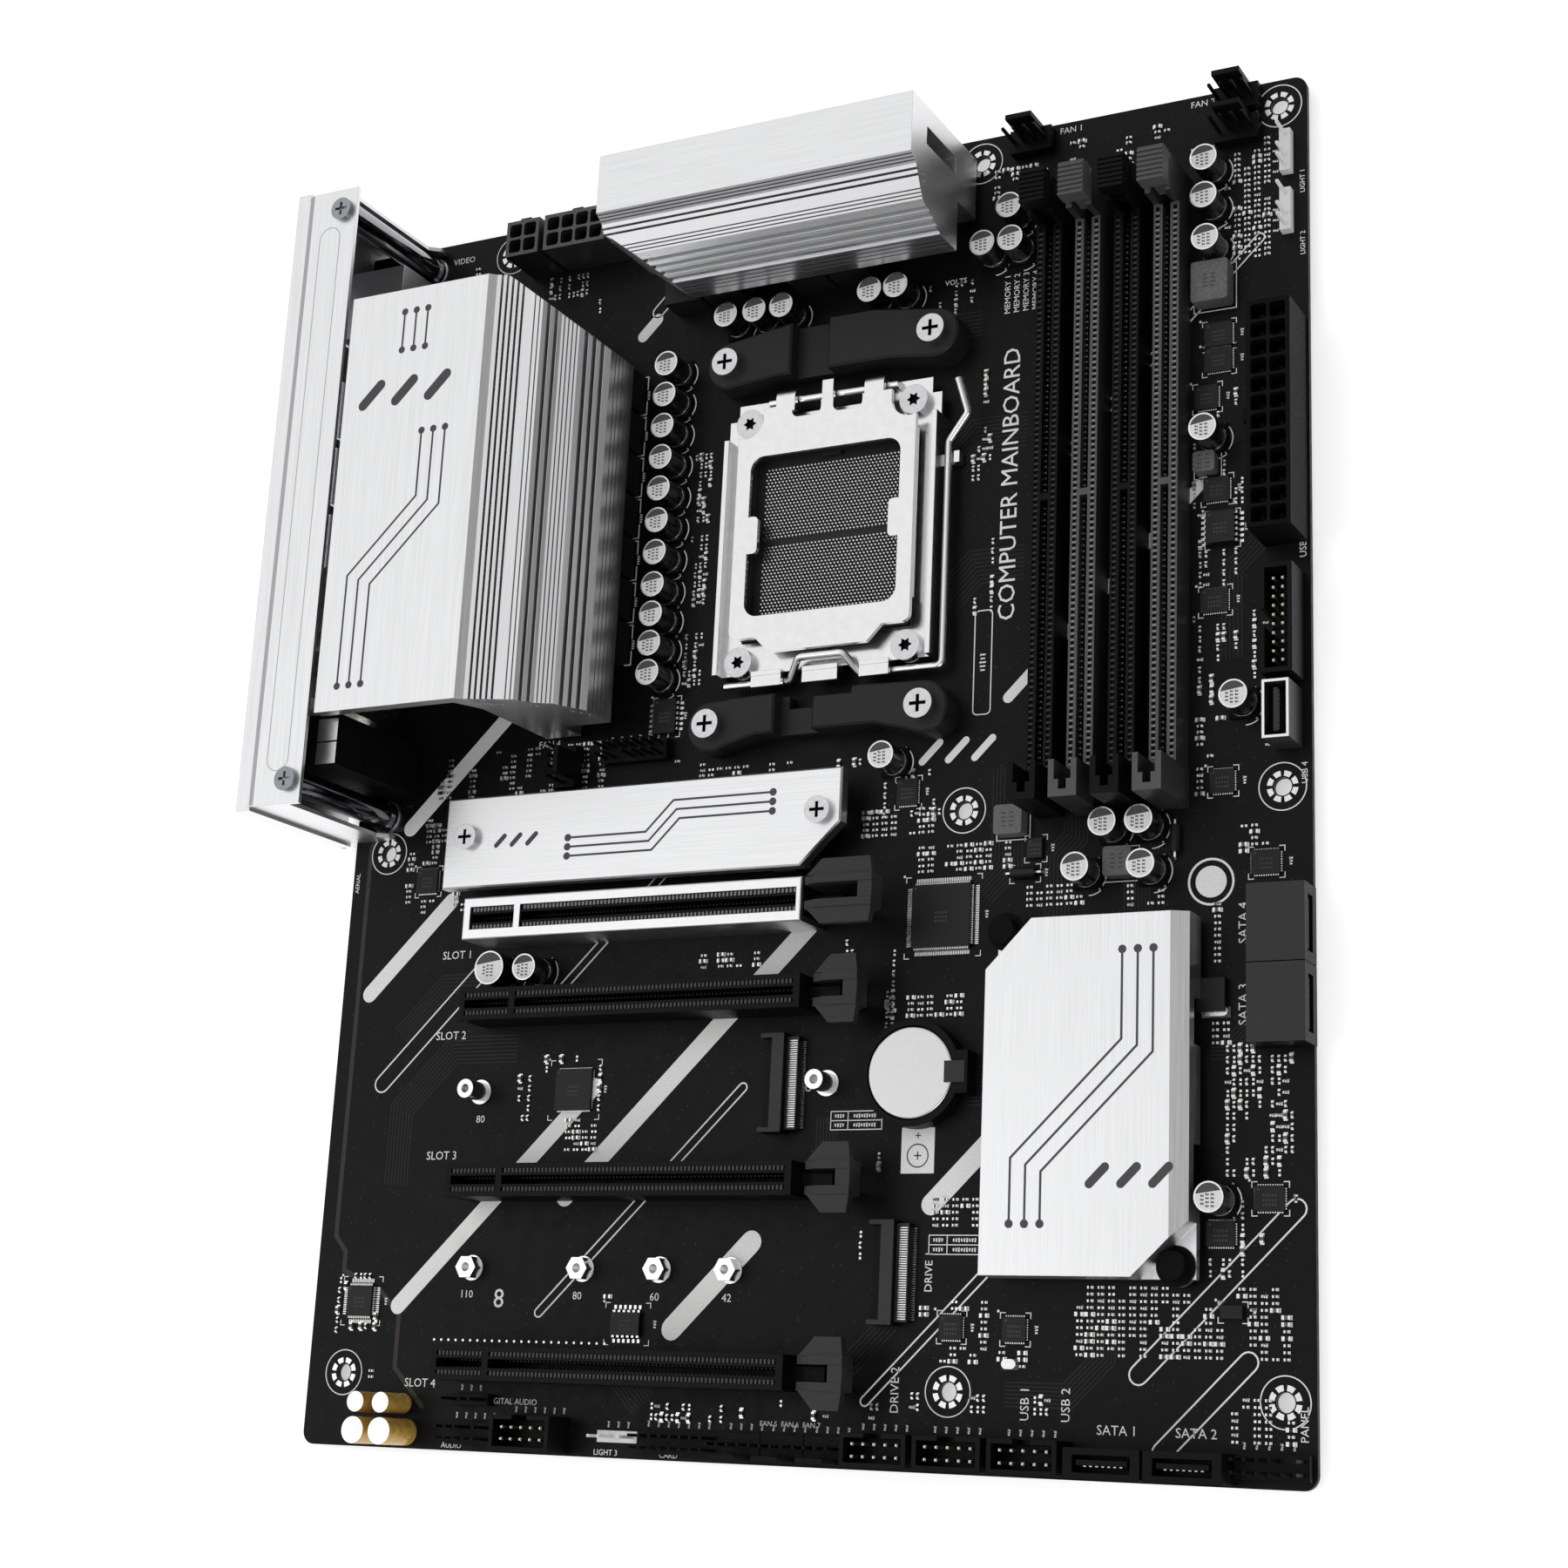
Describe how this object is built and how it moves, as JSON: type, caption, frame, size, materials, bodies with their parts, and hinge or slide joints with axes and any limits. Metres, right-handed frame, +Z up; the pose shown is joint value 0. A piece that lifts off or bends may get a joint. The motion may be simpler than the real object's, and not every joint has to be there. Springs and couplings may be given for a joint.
{
  "type": "desktop computer mainboard",
  "caption": "Full-size black desktop computer mainboard with a hinged processor socket, memory and expansion slots, silver heatsinks and a covered rear connector bank.",
  "frame": {"origin": "centre of the lower four chassis holes, on the board's underside, where it rests on the case's standoffs", "axes": "+X from the rear connectors toward the front edge, +Y from the expansion slots toward the processor, +Z up out of the component face"},
  "size_m": [0.2598, 0.3048, 0.0454],
  "materials": {
    "circuit_board": "black solder mask over glass fibre board, white ink",
    "brushed_aluminium": "fine brushed, clear anodised, with dark grey printed lines",
    "black_plastic_matte": "fine moulded texture",
    "black_plastic_gloss": "moulded, slightly glossy",
    "grey_plastic": "moulded, slightly glossy",
    "white_plastic": "moulded, slightly glossy",
    "socket_plastic": "fine moulded texture",
    "bright_steel": "nickel plated, polished",
    "satin_steel": "nickel plated, satin",
    "dark_steel": "black coated",
    "dark_screw_steel": "black nickel plated",
    "dark_bright_steel": "black chrome, polished",
    "gold_plate": "gold plated",
    "capacitor_can": "satin can, printed top",
    "gold_sleeve": "printed gold sleeve, bright top",
    "choke_grey": "pressed iron powder",
    "chip_epoxy": "fine moulded epoxy",
    "thermal_pad": "soft, dusty"
  },
  "bodies": {
    "mainboard": {"antenna_jacks": "gold_plate", "atx_power_connector": "black_plastic_gloss", "audio_capacitors": "gold_sleeve", "audio_jacks": "black_plastic_matte", "battery_holder": "black_plastic_gloss", "box_headers": "black_plastic_gloss", "chips": "chip_epoxy", "chipset_heatsink": "brushed_aluminium", "chipset_pushpins": "black_plastic_matte", "coin_cell": "satin_steel", "cooler_bracket_lower": "black_plastic_matte", "cooler_bracket_upper": "black_plastic_matte", "cooler_screws": "dark_screw_steel", "cpu_backplate": "dark_steel", "cpu_power_connectors": "black_plastic_gloss", "dimm_slot_1": "black_plastic_gloss", "dimm_slot_2": "grey_plastic", "dimm_slot_3": "black_plastic_gloss", "dimm_slot_4": "grey_plastic", "fan_headers": "black_plastic_gloss", "flash_button_body": "black_plastic_matte", "heatsink_screws": "dark_screw_steel", "io_posts": "dark_bright_steel", "io_shield": "brushed_aluminium", "m2_connectors": "black_plastic_gloss", "m2_heatsink": "brushed_aluminium", "m2_heatsink_screws": "dark_screw_steel", "m2_standoffs": "bright_steel", "pcb": "circuit_board", "pcie_slot_1": "black_plastic_gloss", "pcie_slot_2": "black_plastic_gloss", "pcie_slot_3": "black_plastic_gloss", "pcie_slot_4": "black_plastic_gloss", "pcie_slot_armor": "satin_steel", "pin_headers": "black_plastic_gloss", "polymer_capacitors": "capacitor_can", "power_chokes": "choke_grey", "rgb_headers": "white_plastic", "sata_connectors": "black_plastic_gloss", "shielded_coils": "choke_grey", "socket_body": "socket_plastic", "socket_frame": "bright_steel", "socket_screws": "dark_screw_steel", "thermal_pads": "thermal_pad", "usb_lan_ports": "satin_steel", "usbc_header": "satin_steel", "video_ports": "satin_steel", "vrm_heatsink_left": "brushed_aluminium", "vrm_heatsink_top": "brushed_aluminium"},
    "load_plate": {"load_plate": "bright_steel"},
    "load_lever": {"load_lever": "bright_steel"},
    "flash_button": {"flash_button": "black_plastic_matte"},
    "dimm_latch_1": {"dimm_latch_1": "black_plastic_gloss"},
    "dimm_latch_2": {"dimm_latch_2": "grey_plastic"},
    "dimm_latch_3": {"dimm_latch_3": "black_plastic_gloss"},
    "dimm_latch_4": {"dimm_latch_4": "grey_plastic"},
    "pcie_latch_1": {"pcie_latch_1": "black_plastic_matte"},
    "pcie_latch_2": {"pcie_latch_2": "black_plastic_matte"},
    "pcie_latch_3": {"pcie_latch_3": "black_plastic_matte"},
    "pcie_latch_4": {"pcie_latch_4": "black_plastic_matte"}
  },
  "joints": [
    {"name": "load_plate_hinge", "type": "hinge", "parent": "mainboard", "child": "load_plate", "pos_m": [0.00658, 0.16426, 0.0065], "axis": [-1, 0, 0], "range_deg": [0, 110]},
    {"name": "load_lever_hinge", "type": "hinge", "parent": "mainboard", "child": "load_lever", "pos_m": [0.00658, 0.09526, 0.005], "axis": [1, 0, 0], "range_deg": [0, 115]},
    {"name": "flash_button_press", "type": "slide", "parent": "mainboard", "child": "flash_button", "axis": [1, 0, 0], "range_m": [0, 0.0006], "stiffness_N_per_m": 500},
    {"name": "dimm_latch_1_hinge", "type": "hinge", "parent": "mainboard", "child": "dimm_latch_1", "pos_m": [0.06202, 0.20206, 0.0042], "axis": [-1, 0, 0], "range_deg": [0, 25]},
    {"name": "dimm_latch_2_hinge", "type": "hinge", "parent": "mainboard", "child": "dimm_latch_2", "pos_m": [0.07137, 0.20206, 0.0042], "axis": [-1, 0, 0], "range_deg": [0, 25]},
    {"name": "dimm_latch_3_hinge", "type": "hinge", "parent": "mainboard", "child": "dimm_latch_3", "pos_m": [0.08073, 0.20206, 0.0042], "axis": [-1, 0, 0], "range_deg": [0, 25]},
    {"name": "dimm_latch_4_hinge", "type": "hinge", "parent": "mainboard", "child": "dimm_latch_4", "pos_m": [0.09008, 0.20206, 0.0042], "axis": [-1, 0, 0], "range_deg": [0, 25]},
    {"name": "pcie_latch_1_hinge", "type": "hinge", "parent": "mainboard", "child": "pcie_latch_1", "pos_m": [0.01358, 0.04196, 0.0048], "axis": [0, 1, 0], "range_deg": [0, 20]},
    {"name": "pcie_latch_2_hinge", "type": "hinge", "parent": "mainboard", "child": "pcie_latch_2", "pos_m": [0.01358, 0.02164, 0.0048], "axis": [0, 1, 0], "range_deg": [0, 20]},
    {"name": "pcie_latch_3_hinge", "type": "hinge", "parent": "mainboard", "child": "pcie_latch_3", "pos_m": [0.01358, -0.019, 0.0048], "axis": [0, 1, 0], "range_deg": [0, 20]},
    {"name": "pcie_latch_4_hinge", "type": "hinge", "parent": "mainboard", "child": "pcie_latch_4", "pos_m": [0.01358, -0.05964, 0.0048], "axis": [0, 1, 0], "range_deg": [0, 20]}
  ]
}
